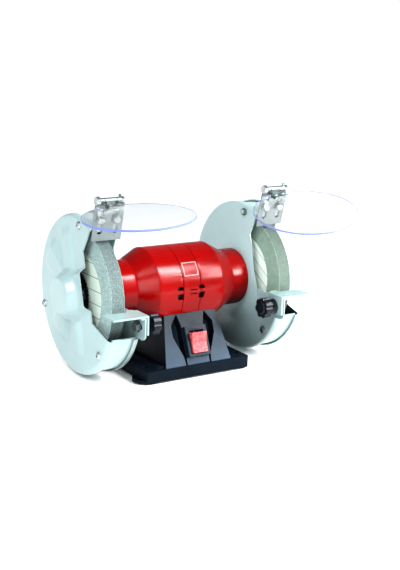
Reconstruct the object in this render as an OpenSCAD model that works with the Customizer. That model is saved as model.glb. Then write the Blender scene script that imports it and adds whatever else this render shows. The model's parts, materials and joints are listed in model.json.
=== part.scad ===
// Bench grinder with two 150 mm wheels, guards, tool rests and eye shields.
// Millimetres. X runs along the shaft, -Y is the front, +Z is up.
// The origin is on the bench, under the middle of the shaft.

/* [Layout] */
// Height of the shaft axis above the bench
axis_h = 99; // [97:0.5:101]
// Distance from the middle of the grinder to the middle of each wheel
wheel_x = 112.3; // [111.5:0.1:113]

/* [Wheels] */
// Diameter of a grinding wheel
wheel_d = 150; // [146:1:151]
// Width of a grinding wheel
wheel_w = 16; // [14:0.5:16]
// Diameter of the wheel bore and of the shaft ends
bore_d = 12.7; // [12:0.1:13]
// Diameter of the paper label on each face of a wheel
label_d = 100; // [90:1:110]
// Diameter of the steel flanges that clamp a wheel
flange_d = 50; // [44:1:56]

/* [Motor] */
// Diameter of the motor's main barrel
motor_d = 93.5; // [92:0.5:94]
// Diameter of the motor's two necks
neck_d = 69; // [66:1:70]
// Distance between the two seams of the middle band
band_w = 23; // [21:1:25]
// Wall thickness of the motor housing
motor_wall = 3; // [2.5:0.5:3.5]

/* [Guards] */
// Outer diameter of the guard plates
guard_d = 184; // [182:1:185]
// Thickness of the guard sheet
sheet = 1.6; // [1.2:0.1:1.8]
// Distance from the middle of the grinder to the inner plate's face
guard_in = 92; // [91.5:0.1:92.5]
// Distance from the middle of the grinder to the outer cover's face
guard_out = 129.6; // [129:0.1:130]
// Angle of the opening's upper end above the horizontal, at the outer cover
mouth_top = 63.4; // [63.2:0.2:64]
// Angle of the opening's lower end below the horizontal
mouth_low = 22; // [20:0.5:23]

/* [Tool rests] */
// Height of the rest's top surface
rest_h = 94; // [92:0.5:95]
// Width of the rest's top plate
rest_w = 43; // [40:1:44]
// Diameter of the star knob
knob_d = 24; // [22:1:26]

/* [Eye shields] */
// Diameter of a shield disc
shield_d = 120; // [110:1:122]
// Thickness of a shield disc
shield_t = 2.5; // [2:0.5:3]
// Forward tilt of the left shield
left_tilt = 1.6; // [0:0.2:8]
// Forward tilt of the right shield
right_tilt = 11.3; // [0:0.1:12]
// Sideways lean of the left shield in its clamp
left_lean = -3.9; // [-6:0.1:0]
// Sideways lean of the right shield in its clamp
right_lean = -9.1; // [-10:0.1:0]

/* [Base] */
// Width of the base
base_w = 138.6; // [136:0.2:144]
// Depth of the base
base_d = 131.8; // [130:0.2:136]
// Height of the base's top surface
base_top = 16.3; // [15:0.1:18]
// Height of the pedestal's top edge
ped_top = 72.8; // [71:0.1:74]
// Spacing of the bench bolts along the shaft
bolt_dx = 125; // [122:1:127]
// Spacing of the bench bolts from front to back
bolt_dy = 96; // [90:1:100]
// Diameter of the bench bolt holes
bolt_hole_d = 6.6; // [5.5:0.1:7]

/* [Hidden] */
$fn = 96;
eps = 0.01;
slip = 0.05;            // radial clearance of a pin or shaft that turns in its hole
gap = 0.3;              // gap between pieces that slide past each other
through = 400;          // longer than anything it cuts

// wheels and shaft
wheel_in = wheel_x - wheel_w / 2;
wheel_out = wheel_x + wheel_w / 2;
label_t = 0.4;
flange_t = 4;
shaft_r = 7.5;
nut_t = 8;
shaft_end = wheel_out + label_t + flange_t + nut_t + 2;
wheel_r = wheel_d / 2;

// motor, measured from the middle along X
motor_r = motor_d / 2;
neck_r = neck_d / 2;
seam_w = 0.3;
barrel_x = 42.5;
cone_x = 65.5;
neck_x = 88;
skirt_x = 40;
skirt_y = 41.4;
mount_bolt_x = 20;
mount_bolt_r = 2.5;
bearing_r = 17.5;
bearing_w = 11;
bearing_x = 74;
stator_l = 50;
stator_r = 41;
air_gap = 0.6;
rotor_r = 23.4;

// guards
guard_r = guard_d / 2;
wall_r = guard_r - sheet - 1;         // the wall sits inside the flanges of both pressings
plate_edge = 6.2;
cover_edge = 7;
cover_round = 5.5;
screw_ring = 83.5;
screw_angles = [79.7, -40.3, -160.3];
screw_r = 2.4;
dome_r = 33;
dome_top_r = 21;
dome_h = 19;
// Arms pressed out of the cover: [angle above the front, length, height, half width, top half width]
arms = [[22, 120, 8, 25, 19], [146, 58, 6, 23, 15], [-126, 58, 6, 23, 15]];
arm_draft = 8;
// Back corners of the opening, as [Y, Z]: the inner plate reaches further forward
plate_mouth = [[-27, axis_h + 56.3], [-47, axis_h - 4], [-47.4, axis_h - 32.8]];
cover_mouth = [[-22.5, axis_h + 53.8], [-44.8, axis_h - 22.8]];
plate_mouth_top = 64.7;

// tool rest, ear and knob, as [Y, Z] on the right-hand side
rest_t = 2;
rest_in = 88.7;
rest_front = -101;
rest_back = -77;
rest_arm_back = -70;
rest_drop = 22;
bolt_y = -86;
bolt_z = axis_h - 19.4;
rest_bolt_r = 3;
slot_back = -72;
slot_front = -95;
ear_low = axis_h - 33.5;
ear_flange = 6;
knob_r = knob_d / 2;
knob_out = 70.5;

// shield bracket: its frame lies on the plate's front face, at the two screws
bracket_x = 109.8;
bracket_y = -45.8;
bracket_z = axis_h + 90.5;
bracket_lean = 13.6;
bracket_w = 36;
bracket_low = -23;
bracket_high = 19.5;
bracket_pitch = 19.1;
bracket_slot_w = 5.6;
bracket_slot_low = -15;
bracket_slot_high = 13;
tab_w = 24.5;
tab_high = 9;
bracket_screw_r = 2.5;
hinge_y = -51;
hinge_z = axis_h + 113.9;
hinge_r = 2;
knuckle_r = 3.4;
// Ends of the bracket's two knuckles and of the shield's knuckle between them
knuckle_left = [-13.8, -8.5];
knuckle_mid = [-8, 6];
knuckle_right = [6.5, 12];
stop_h = 6.4;                           // a finger on the right ear stands above the hinge
shield_reach = 62;                      // hinge axis to the middle of the disc
shield_drop = 6.3;
rivet_x = 5;
rivet_y = -9;
rivet_r = 1.6;
strip_w = 18;                           // strips above and below the disc, held by the rivets
strip_front = -15;
strip_back = -5;
strap_t = 1.5;
strap_inset = 2.2;                      // the strap is this much narrower than its knuckle

// base and pedestal
base_low = 2.5;
base_wall = 3;
base_round = 1.5;
foot_r = 15;
screw_dx = 80;
screw_dy = 90;
gland_x = -30;
gland_z = 8.5;
gland_bore = 2.9;
gland_neck = 3.9;
gland_l = 15;
ped_front_low = 64.9;
ped_front_top = 41.4;
ped_half_low = 44.8;
ped_half_top = 35.4;
ped_h = ped_top - base_top;
ped_slope = atan((ped_front_low - ped_front_top) / ped_h);
panel_len = ped_h / cos(ped_slope);
pocket_depth = 11;

// switch, in the frame of the pedestal's front face
block_w = 30;
block_low = 9;
block_high = 44.5;
block_proud = 6.5;
rocker_v = 25.5;
rocker_n = 4.3;
rocker_w = 19;
rocker_half = 11.8;
rocker_h = 7.4;
rocker_rest = 10.3;
rocker_pin_r = 1.5;

// ---------------------------------------------------------------- helpers
// Profile of [radius, x] points turned about the shaft axis
module turned(points) {
    translate([0, 0, axis_h]) rotate([0, 90, 0]) rotate_extrude() polygon(points);
}

// Outline drawn as [Y, Z] points and extruded from x0 to x1
module slab(x0, x1) {
    translate([x0, 0, 0]) rotate([90, 0, 90]) linear_extrude(x1 - x0) children();
}

// Ring or disc about the shaft axis
module ring(x0, x1, r_out, r_in = 0) {
    translate([x0, 0, axis_h]) rotate([0, 90, 0]) difference() {
        cylinder(h = x1 - x0, r = r_out);
        if (r_in > 0) translate([0, 0, -eps]) cylinder(h = x1 - x0 + 2 * eps, r = r_in);
    }
}

// Cylinder along X
module rod(x0, x1, y, z, r) {
    translate([x0, y, z]) rotate([0, 90, 0]) cylinder(h = x1 - x0, r = r);
}

// Hexagonal prism along X, given its width across the flats
module hex_rod(x0, x1, y, z, flats) {
    translate([x0, y, z]) rotate([0, 90, 0]) cylinder(h = x1 - x0, d = flats / cos(30), $fn = 6);
}

// Outline of a slot between two end centres
module slot_2d(a, b, r) {
    for (p = [a, b]) translate(p) circle(r);
    d = b - a;
    translate(a) rotate(atan2(d[1], d[0])) translate([0, -r]) square([norm(d), 2 * r]);
}

// Draws the right-hand side's geometry on the side asked for
module on_side(side) {
    if (side < 0) mirror([1, 0, 0]) children();
    else children();
}

// [Y, Z] of a point at radius r and at an angle above the front
function polar(r, a) = [-r * cos(a), axis_h + r * sin(a)];

// ---------------------------------------------------------------- base
module corners(dx, dy) {
    for (x = [-1, 1], y = [-1, 1]) translate([x * dx / 2, y * dy / 2, 0]) children();
}

module rounded_plate(w, d, h, r) {
    linear_extrude(h) union() {
        square([w - 2 * r, d], center = true);
        square([w, d - 2 * r], center = true);
        for (x = [-1, 1], y = [-1, 1]) translate([x * (w / 2 - r), y * (d / 2 - r)]) circle(r);
    }
}

module base() {
    post_h = base_top - base_wall - base_low;
    color([0.09, 0.12, 0.15]) difference() {
        union() {
            difference() {
                union() {
                    translate([0, 0, base_low]) rounded_plate(base_w, base_d, base_top - base_low,
                                                                base_round);
                    for (s = [-1, 1]) on_side(s) side_ledge();
                }
                translate([0, 0, base_low - 1])
                    rounded_plate(base_w - 2 * base_wall, base_d - 2 * base_wall,
                                  post_h + 1, 2);
            }
            corners(bolt_dx, bolt_dy) translate([0, 0, base_low]) cylinder(h = 2.5, r = foot_r);
            corners(bolt_dx, bolt_dy) translate([0, 0, base_low]) cylinder(h = post_h + 1, r = 7);
            corners(screw_dx, screw_dy) translate([0, 0, 4]) cylinder(h = post_h, r = 4);
        }
        corners(bolt_dx, bolt_dy) translate([0, 0, -1]) cylinder(h = 40, d = bolt_hole_d);
        corners(screw_dx, screw_dy) translate([0, 0, 3]) cylinder(h = 8, r = 1.5);
        translate([0, 0, base_low]) cylinder(h = 40, r = 12);
        on_gland() translate([0, 0, -8]) cylinder(h = 30, r = gland_neck + slip);
    }
}

module side_ledge() {
    translate([0, base_d / 2 - 4, 0]) rotate([90, 0, 0]) linear_extrude(base_d - 8)
        polygon([[ped_half_low + 1, base_top - 1], [58, base_top - 1], [58, base_top],
                 [52, base_top + 3], [ped_half_low + 1, base_top + 3]]);
}

// Frame on the axis of the cord gland: Z runs out of the back, from 5 mm inside its face
module on_gland() {
    translate([gland_x, base_d / 2 - 5, gland_z]) rotate([-90, 0, 0]) children();
}

module cord_gland() {
    wall_in = 5 - base_wall - slip;
    wall_out = 5 + slip;
    color([0.05, 0.05, 0.06]) on_gland() rotate_extrude() polygon([
        [gland_bore, 0], [gland_neck + 0.6, 0], [gland_neck + 0.6, wall_in], [gland_neck, wall_in],
        [gland_neck, wall_out], [6, wall_out], [6, 8], [4.2, gland_l], [gland_bore, gland_l]]);
}

module base_plate() {
    color([0.5, 0.52, 0.54]) translate([0, 0, base_low + 0.2]) difference() {
        rounded_plate(base_w - 2 * base_wall - 0.6, base_d - 2 * base_wall - 0.6, 1, 2);
        corners(bolt_dx, bolt_dy) translate([0, 0, -1]) cylinder(h = 3, r = foot_r + 0.4);
        corners(screw_dx, screw_dy) translate([0, 0, -1]) cylinder(h = 3, r = 1.6);
    }
}

module base_plate_screws() {
    color([0.7, 0.71, 0.73]) corners(screw_dx, screw_dy) {
        translate([0, 0, base_low + 0.2 - 1.2]) cylinder(h = 1.2, r = 3);
        translate([0, 0, base_low + 0.1]) cylinder(h = 7, r = 1.4);
    }
}

module rubber_feet() {
    color([0.04, 0.04, 0.045]) corners(bolt_dx, bolt_dy) rotate_extrude()
        polygon([[bolt_hole_d / 2, 0], [foot_r - 1, 0], [foot_r, 0.8], [foot_r, base_low],
                 [bolt_hole_d / 2, base_low]]);
}

// ---------------------------------------------------------------- pedestal and switch
// Frame of the pedestal's front face: X across, Y up the slope, Z outwards
module on_panel() {
    translate([0, -ped_front_low, base_top]) rotate([90 - ped_slope, 0, 0]) children();
}

module pedestal_solid(inset, z0, z1) {
    k0 = (z0 - base_top) / ped_h;
    k1 = (z1 - base_top) / ped_h;
    x0 = ped_half_low + (ped_half_top - ped_half_low) * k0 - inset;
    x1 = ped_half_low + (ped_half_top - ped_half_low) * k1 - inset;
    y0 = ped_front_low + (ped_front_top - ped_front_low) * k0 - inset;
    y1 = ped_front_low + (ped_front_top - ped_front_low) * k1 - inset;
    intersection() {
        rotate([90, 0, 0]) linear_extrude(through, center = true)
            polygon([[-x0, z0], [x0, z0], [x1, z1], [-x1, z1]]);
        slab(-through / 2, through / 2) polygon([[-y0, z0], [y0, z0], [y1, z1], [-y1, z1]]);
    }
}

module pocket() {
    linear_extrude(pocket_depth + 5) polygon([
        [19, panel_len - 1], [28, 48], [28, 35], [17.6, 10], [16.8, -2], [15.4, -2], [15.4, 47]]);
}

module pedestal() {
    color([0.28, 0.33, 0.40]) difference() {
        pedestal_solid(0, base_top, ped_top);
        difference() {
            pedestal_solid(base_wall, base_top - 1, ped_top);
            ring(-through / 2, through / 2, motor_r + base_wall);
            on_panel() translate([-block_w, 0, -pocket_depth - base_wall])
                cube([2 * block_w, panel_len, pocket_depth + base_wall + 5]);
        }
        ring(-through / 2, through / 2, motor_r + slip);
        for (s = [-1, 1]) on_side(s) on_panel() translate([0, 0, -pocket_depth]) pocket();
        on_panel() translate([-10.2, rocker_v - 13.4, -through / 8])
            cube([20.4, 26.8, through / 8 + 10]);
        for (s = [-1, 1]) translate([s * mount_bolt_x, 0, 0])
            cylinder(h = axis_h, r = mount_bolt_r + 0.1);
    }
}

module switch_block() {
    inner_w = rocker_w + 2 * gap;
    color([0.14, 0.17, 0.21]) on_panel() difference() {
        translate([-block_w / 2, block_low, 0]) cube([block_w, block_high - block_low, block_proud]);
        translate([-inner_w / 2, rocker_v - 13.3, -1]) cube([inner_w, 26.6, block_proud + 2]);
        translate([-12.5, rocker_v, rocker_n]) rotate([0, 90, 0])
            cylinder(h = 25, r = rocker_pin_r + slip);
        for (s = [-1, 1]) on_side(s) translate([block_w / 2, 0, block_proud]) rotate([0, 45, 0])
            translate([-0.6, 0, -0.6]) cube([1.2, 60, 1.2]);
    }
}

module rocker() {
    color([0.85, 0.16, 0.16]) on_panel() translate([0, rocker_v, rocker_n])
        rotate([rocker_rest, 0, 0]) {
            translate([-rocker_w / 2, 0, 0]) rotate([90, 0, 90]) linear_extrude(rocker_w)
                polygon([[-11.5, -6], [11.5, -6], [rocker_half, rocker_h], [0, rocker_h - 2.2],
                         [-rocker_half, rocker_h]]);
            translate([-12, 0, 0]) rotate([0, 90, 0]) cylinder(h = 24, r = rocker_pin_r);
        }
}

module switch_body() {
    color([0.1, 0.1, 0.11]) on_panel() {
        translate([-10, rocker_v - 13, -26]) cube([20, 26, 21]);
        for (v = [-8, 0, 8]) translate([-3, rocker_v + v - 0.4, -33]) cube([6, 0.8, 7 + eps]);
    }
}

module capacitor() {
    color([0.85, 0.85, 0.82]) rod(-22, 22, 22, axis_h - 68, 12);
}

// ---------------------------------------------------------------- motor
module skirt(x0, x1) {
    difference() {
        translate([x0, -skirt_y, ped_top]) cube([x1 - x0, 2 * skirt_y, axis_h - ped_top]);
        ring(x0 - 1, x1 + 1, motor_r - motor_wall / 2);
    }
}

// Windows of the air vents, cut through the front and the back: a wide one under a narrow one
module vent_cut() {
    for (v = [[-20.5, -11.5], [17.5, 8.8]]) front_and_back() {
        slope = (v[1] - v[0]) / 4;
        polygon([[v[0], axis_h + 2.3], [v[1], axis_h + 2.3], [v[1], axis_h + 6.8],
                 [v[0] + slope, axis_h + 6.8]]);
        polygon([[v[0], axis_h - 1.8], [v[1], axis_h - 1.8], [v[1], axis_h - 9],
                 [v[0] + slope, axis_h - 9]]);
    }
}

module band_slots() {
    front_and_back() for (z = [axis_h + 1.4, axis_h - 3.6]) translate([-3, z]) square([9.5, 1.2]);
}

// Cuts an outline of [X, Z] points from the axis out to the front, and turned round to the back
module front_and_back() {
    for (turn = [0, 180]) rotate([90, 0, turn]) linear_extrude(through / 4) children();
}

module motor_bell() {
    x0 = band_w / 2 + seam_w;
    bore = shaft_r + 1.5;
    seat_end = bearing_x + bearing_w;
    in_r = motor_r - motor_wall;
    neck_in = neck_r - motor_wall;
    difference() {
        union() {
            turned([[motor_r, x0], [motor_r, barrel_x], [neck_r, cone_x], [neck_r, neck_x - 2.5],
                    [neck_r - 0.7, neck_x - 0.7], [neck_r - 2.5, neck_x], [bore, neck_x],
                    [bore, seat_end], [bearing_r, seat_end], [bearing_r, bearing_x],
                    [bearing_r + 3.5, bearing_x], [bearing_r + 3.5, seat_end - 0.5],
                    [neck_in, seat_end - 0.5], [neck_in, cone_x + 1], [in_r, barrel_x - 1],
                    [in_r, x0]]);
            skirt(x0, skirt_x);
        }
        translate([mount_bolt_x, 0, 0]) cylinder(h = axis_h, r = mount_bolt_r + 0.1);
    }
}

module motor_bell_left() {
    color([0.8, 0.02, 0.03]) difference() {
        on_side(-1) motor_bell();
        vent_cut();
    }
}

module motor_bell_right() {
    color([0.8, 0.02, 0.03]) difference() {
        on_side(1) motor_bell();
        vent_cut();
    }
}

module motor_band() {
    half = band_w / 2;
    color([0.8, 0.02, 0.03]) difference() {
        union() {
            ring(-half, half, motor_r, motor_r - motor_wall);
            skirt(-half, half);
        }
        band_slots();
        vent_cut();
    }
}

module motor_badge() {
    // a blank raised square with a rim, centred 32.5 degrees above the horizontal
    half = 9.6;
    color([0.78, 0.03, 0.04]) difference() {
        intersection() {
            ring(-half, half, motor_r + 0.8, motor_r + 0.02);
            translate([0, 0, axis_h]) rotate([-32.5, 0, 0])
                translate([-half, -motor_r - 5, -8.4]) cube([2 * half, 20, 16.8]);
        }
        intersection() {
            ring(-through, through, motor_r + 2, motor_r + 0.5);
            translate([0, 0, axis_h]) rotate([-32.5, 0, 0])
                translate([-half + 1, -motor_r - 5, -7.4]) cube([2 * half - 2, 20, 14.8]);
        }
    }
}

module motor_mount_bolts() {
    z0 = axis_h - motor_r - base_wall;
    color([0.7, 0.71, 0.73]) for (s = [-1, 1]) translate([s * mount_bolt_x, 0, 0]) {
        translate([0, 0, z0 - 4.4]) cylinder(h = 4, d = 8 / cos(30), $fn = 6);
        translate([0, 0, z0 - 0.4 - eps]) cylinder(h = 7.2, r = mount_bolt_r);
    }
}

module stator_core() {
    half = stator_l / 2;
    color([0.42, 0.42, 0.44]) difference() {
        union() {
            ring(-half, half, stator_r);
            for (a = [45 : 90 : 315]) translate([0, 0, axis_h]) rotate([a, 0, 0])
                translate([-half, -4, stator_r - 2])
                    cube([stator_l, 8, motor_r - motor_wall - stator_r + 1.4]);
        }
        ring(-half - 1, half + 1, rotor_r + air_gap);
    }
}

module stator_windings() {
    half = stator_l / 2;
    color([0.72, 0.4, 0.16]) for (s = [-1, 1]) on_side(s)
        turned([[28, half], [38, half], [39, half + 3], [37, half + 11], [31, half + 12],
                [27.5, half + 8]]);
}

module motor_bearings() {
    color([0.75, 0.76, 0.78]) for (s = [-1, 1]) on_side(s)
        ring(bearing_x, bearing_x + bearing_w - 0.2, bearing_r - 0.02, shaft_r + slip);
}

// ---------------------------------------------------------------- rotor
module shaft() {
    color([0.72, 0.73, 0.75]) union() {
        ring(-wheel_in + flange_t + label_t, wheel_in - flange_t - label_t, shaft_r);
        ring(-shaft_end, shaft_end, bore_d / 2);
    }
}

module rotor_core() {
    color([0.5, 0.5, 0.52]) ring(-stator_l / 2, stator_l / 2, rotor_r, shaft_r);
}

module wheel() {
    edge = 0.6;
    turned([[bore_d / 2 + slip, wheel_in], [wheel_r - edge, wheel_in], [wheel_r, wheel_in + edge],
            [wheel_r, wheel_out - edge], [wheel_r - edge, wheel_out],
            [bore_d / 2 + slip, wheel_out]]);
}

module wheel_left() { color([0.52, 0.58, 0.60]) on_side(-1) wheel(); }
module wheel_right() { color([0.58, 0.64, 0.58]) on_side(1) wheel(); }

module wheel_labels() {
    for (x = [wheel_in - label_t, wheel_out]) ring(x, x + label_t, label_d / 2, bore_d / 2 + slip);
}

module wheel_labels_left() { color([0.93, 0.93, 0.88]) on_side(-1) wheel_labels(); }
module wheel_labels_right() { color([0.93, 0.93, 0.88]) on_side(1) wheel_labels(); }

// Dished so that each flange bears on the wheel at its rim only
module wheel_flanges() {
    r = flange_d / 2;
    hole = bore_d / 2 + slip;
    x0 = wheel_in - label_t;
    x1 = wheel_out + label_t;
    turned([[hole, x0 - flange_t], [r - 6, x0 - flange_t], [r, x0 - 2], [r, x0], [r - 5, x0],
            [r - 6, x0 - 1], [hole, x0 - 1]]);
    turned([[hole, x1 + flange_t], [r - 6, x1 + flange_t], [r, x1 + 2], [r, x1], [r - 5, x1],
            [r - 6, x1 + 1], [hole, x1 + 1]]);
}

module wheel_flanges_left() { color([0.6, 0.61, 0.63]) on_side(-1) wheel_flanges(); }
module wheel_flanges_right() { color([0.6, 0.61, 0.63]) on_side(1) wheel_flanges(); }

module spindle_nuts() {
    x0 = wheel_out + label_t + flange_t;
    color([0.7, 0.71, 0.73]) for (s = [-1, 1]) on_side(s) difference() {
        hex_rod(x0, x0 + nut_t, 0, axis_h, 19);
        rod(x0 - 1, x0 + nut_t + 1, 0, axis_h, bore_d / 2 + slip);
    }
}

// ---------------------------------------------------------------- guards
// The front opening of a guard pressing, given its back corners and the angle of its upper end
module mouth(back, top) {
    rim = guard_r + 0.6;
    far = guard_r + 60;
    slab(0, through / 2) polygon(concat(
        [polar(far, top), polar(rim, top)], back,
        [polar(rim, -mouth_low), polar(far, -mouth_low), polar(far, 15)]));
}

module guard_holes(x0, x1) {
    for (a = screw_angles) {
        p = polar(screw_ring, a);
        rod(x0, x1, p[0], p[1], screw_r + 0.1);
    }
}

// Ear that carries the tool rest, in the plane of the inner plate's face
module ear_2d() {
    difference() {
        union() {
            polygon([[-38, ear_low + 8], [-46, rest_h - 2.4], [rest_front, rest_h - 2.4],
                     [rest_front, ear_low + 7], [rest_front + 7, ear_low], [-82, ear_low],
                     [-78, ear_low - 4], [-60, ear_low - 4]]);
            translate([rest_front + 7, ear_low + 7]) circle(7);
        }
        slot_2d([slot_front + 3.4, bolt_z], [slot_back - 3.4, bolt_z], 3.4);
    }
}

module guard_plate() {
    edge_x = guard_in + plate_edge;
    difference() {
        union() {
            difference() {
                turned([[shaft_r + 4, neck_x], [neck_r + 4, neck_x], [54, guard_in],
                        [guard_r - 2, guard_in], [guard_r - 0.6, guard_in + 0.6],
                        [guard_r, guard_in + 2], [guard_r, edge_x], [guard_r - sheet, edge_x],
                        [guard_r - sheet, guard_in + sheet + 0.6],
                        [guard_r - sheet - 0.6, guard_in + sheet], [53.6, guard_in + sheet],
                        [neck_r + 3.6, neck_x + sheet], [shaft_r + 4, neck_x + sheet]]);
                mouth(plate_mouth, plate_mouth_top);
            }
            slab(guard_in, guard_in + sheet) ear_2d();
            slab(guard_in, guard_in + ear_flange) polygon([
                [rest_front, rest_h - 2.4 - sheet], [-80, rest_h - 2.4 - sheet],
                [-80, rest_h - 2.4], [rest_front, rest_h - 2.4]]);
        }
        guard_holes(0, through);
    }
}

module guard_plate_left() { color([0.75, 0.84, 0.84]) on_side(-1) guard_plate(); }
module guard_plate_right() { color([0.75, 0.84, 0.84]) on_side(1) guard_plate(); }

// Frame on the shield bracket's front face: X across, Y up the plate, Z forwards
module on_bracket() {
    translate([bracket_x, bracket_y, bracket_z]) rotate([90 + bracket_lean, 0, 0]) children();
}

module guard_wall() {
    x0 = guard_in + sheet + 0.7;
    x1 = guard_out - cover_round - 0.3;
    tab_front = -sheet - gap;
    tab_low = -12.4;
    difference() {
        union() {
            difference() {
                ring(x0, x1, wall_r, wall_r - sheet);
                slab(x0 - 1, x1 + 1) polygon([[0, axis_h], polar(through, mouth_top - 0.8),
                                              polar(through, 20), polar(through, -mouth_low)]);
            }
            on_bracket() translate([-tab_w / 2, tab_low, tab_front - sheet])
                cube([tab_w, tab_high - tab_low, sheet]);
        }
        on_bracket() for (s = [-1, 1]) translate([s * bracket_pitch / 2, 0, -20])
            cylinder(h = 20, r = bracket_screw_r + 0.1);
    }
}

module guard_wall_left() { color([0.76, 0.85, 0.85]) on_side(-1) guard_wall(); }
module guard_wall_right() { color([0.76, 0.85, 0.85]) on_side(1) guard_wall(); }

// Solid shape of the outer pressing, drawn in by t for its hollow
module cover_form(t) {
    face = guard_out - t;
    r = guard_r + 0.3 - t;
    edge = face - cover_edge - (t > 0 ? 1 : 0);
    turned(concat(
        [[0, edge], [r, edge]],
        [for (a = [0 : 15 : 90]) [r - cover_round * (1 - cos(a)), face - cover_round * (1 - sin(a))]],
        [[dome_r - t, face], [dome_r - t - 3, face + 2], [dome_top_r - t + 3, face + dome_h - 4],
         [dome_top_r - t + 1, face + dome_h - 1], [dome_top_r - t - 2, face + dome_h],
         [0, face + dome_h]]));
    for (a = arms) intersection() {
        arm_ridge(a, face, t);
        turned([[0, face - 3], [min(a[1], r - cover_round) + 3, face - 3],
                [min(a[1], r - cover_round), face], [a[1] - arm_draft, face + a[2]],
                [0, face + a[2]]]);
    }
}

// Flat-topped ridge from the axis outwards at the arm's angle
module arm_ridge(a, face, t) {
    translate([0, 0, axis_h]) rotate([-a[0], 0, 0]) rotate([90, 0, 0]) linear_extrude(guard_r)
        polygon([[face - 3, t - a[3] - 2], [face, t - a[3]], [face + a[2], t - a[4]],
                 [face + a[2], a[4] - t], [face, a[3] - t], [face - 3, a[3] + 2 - t]]);
}

module guard_cover() {
    difference() {
        cover_form(0);
        cover_form(sheet);
        mouth(cover_mouth, mouth_top);
        guard_holes(guard_out - 20, through);
    }
}

module guard_cover_left() { color([0.74, 0.84, 0.84]) on_side(-1) guard_cover(); }
module guard_cover_right() { color([0.74, 0.84, 0.84]) on_side(1) guard_cover(); }

// Domed screw head with a cross recess, standing on Z = 0
module pan_head() {
    difference() {
        rotate_extrude() polygon([[0, 0], [4.4, 0], [4.4, 0.9], [4, 2], [3.1, 2.8], [1.8, 3.2],
                                  [0, 3.3]]);
        for (r = [0, 90]) rotate(r) translate([-2.4, -0.45, 1.8]) cube([4.8, 0.9, 3]);
    }
}

module guard_screws() {
    color([0.78, 0.8, 0.82]) for (s = [-1, 1]) on_side(s) for (a = screw_angles) {
        p = polar(screw_ring, a);
        rod(guard_in - 3.4, guard_out + eps, p[0], p[1], screw_r);
        translate([guard_out, p[0], p[1]]) rotate([0, 90, 0]) pan_head();
    }
}

module guard_nuts() {
    color([0.78, 0.8, 0.82]) for (s = [-1, 1]) on_side(s) for (a = screw_angles) {
        p = polar(screw_ring, a);
        difference() {
            hex_rod(guard_in - 3, guard_in, p[0], p[1], 8);
            rod(guard_in - 4, guard_in + 1, p[0], p[1], screw_r);
        }
    }
}

// ---------------------------------------------------------------- bracket fasteners
module at_bracket_screws() {
    for (s = [-1, 1]) on_side(s) on_bracket()
        for (k = [-1, 1]) translate([k * bracket_pitch / 2, 0, 0]) children();
}

module bracket_screws() {
    color([0.8, 0.81, 0.8]) at_bracket_screws() {
        translate([0, 0, -9]) cylinder(h = 10.4, r = bracket_screw_r);
        translate([0, 0, gap + 1]) pan_head();
    }
}

module bracket_washers() {
    color([0.74, 0.76, 0.76]) at_bracket_screws() translate([0, 0, gap]) difference() {
        cylinder(h = 1, r = 5.8);
        translate([0, 0, -1]) cylinder(h = 3, r = bracket_screw_r + 0.1);
    }
}

module bracket_nuts() {
    top = -2 * sheet - gap;
    color([0.74, 0.76, 0.76]) at_bracket_screws() translate([0, 0, top - 4]) difference() {
        cylinder(h = 4, d = 8 / cos(30), $fn = 6);
        translate([0, 0, -1]) cylinder(h = 6, r = bracket_screw_r);
    }
}

// ---------------------------------------------------------------- tool rests
module tool_rest() {
    slope = 6;
    difference() {
        union() {
            translate([0, 0, rest_h - rest_t]) linear_extrude(rest_t) polygon([
                [rest_in, rest_front], [rest_in + rest_w, rest_front],
                [rest_in + rest_w, rest_back], [wheel_in - 1.5, rest_back],
                [wheel_in - 1.5, rest_arm_back], [rest_in + slope, rest_arm_back],
                [rest_in, rest_arm_back - slope]]);
            slab(rest_in, rest_in + rest_t) polygon([
                [rest_front, rest_h - eps], [rest_front, rest_h - rest_drop],
                [-74, rest_h - rest_drop], [-74, rest_h - eps]]);
        }
        rod(0, through, bolt_y, bolt_z, rest_bolt_r + 0.1);
    }
}

module tool_rest_left() { color([0.80, 0.88, 0.88]) on_side(-1) tool_rest(); }
module tool_rest_right() { color([0.80, 0.88, 0.88]) on_side(1) tool_rest(); }

module rest_bolt() {
    head = guard_in + sheet + gap + 1;
    rod(knob_out + 3, head + eps, bolt_y, bolt_z, rest_bolt_r);
    hex_rod(head, head + 4, bolt_y, bolt_z, 10);
}

module rest_bolt_left() { color([0.8, 0.81, 0.82]) on_side(-1) rest_bolt(); }
module rest_bolt_right() { color([0.8, 0.81, 0.82]) on_side(1) rest_bolt(); }

// One washer under the bolt's head, one between the flange and the ear, one under the knob
module rest_washers() {
    head = guard_in + sheet + gap;
    flange_out = rest_in + rest_t;
    for (x = [[head, head + 1, 6.5], [flange_out, guard_in - gap, 6], [rest_in - 1, rest_in, 7]])
        difference() {
            rod(x[0], x[1], bolt_y, bolt_z, x[2]);
            rod(x[0] - 1, x[1] + 1, bolt_y, bolt_z, rest_bolt_r + 0.1);
        }
}

module rest_washers_left() { color([0.75, 0.77, 0.78]) on_side(-1) rest_washers(); }
module rest_washers_right() { color([0.75, 0.77, 0.78]) on_side(1) rest_washers(); }

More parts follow.
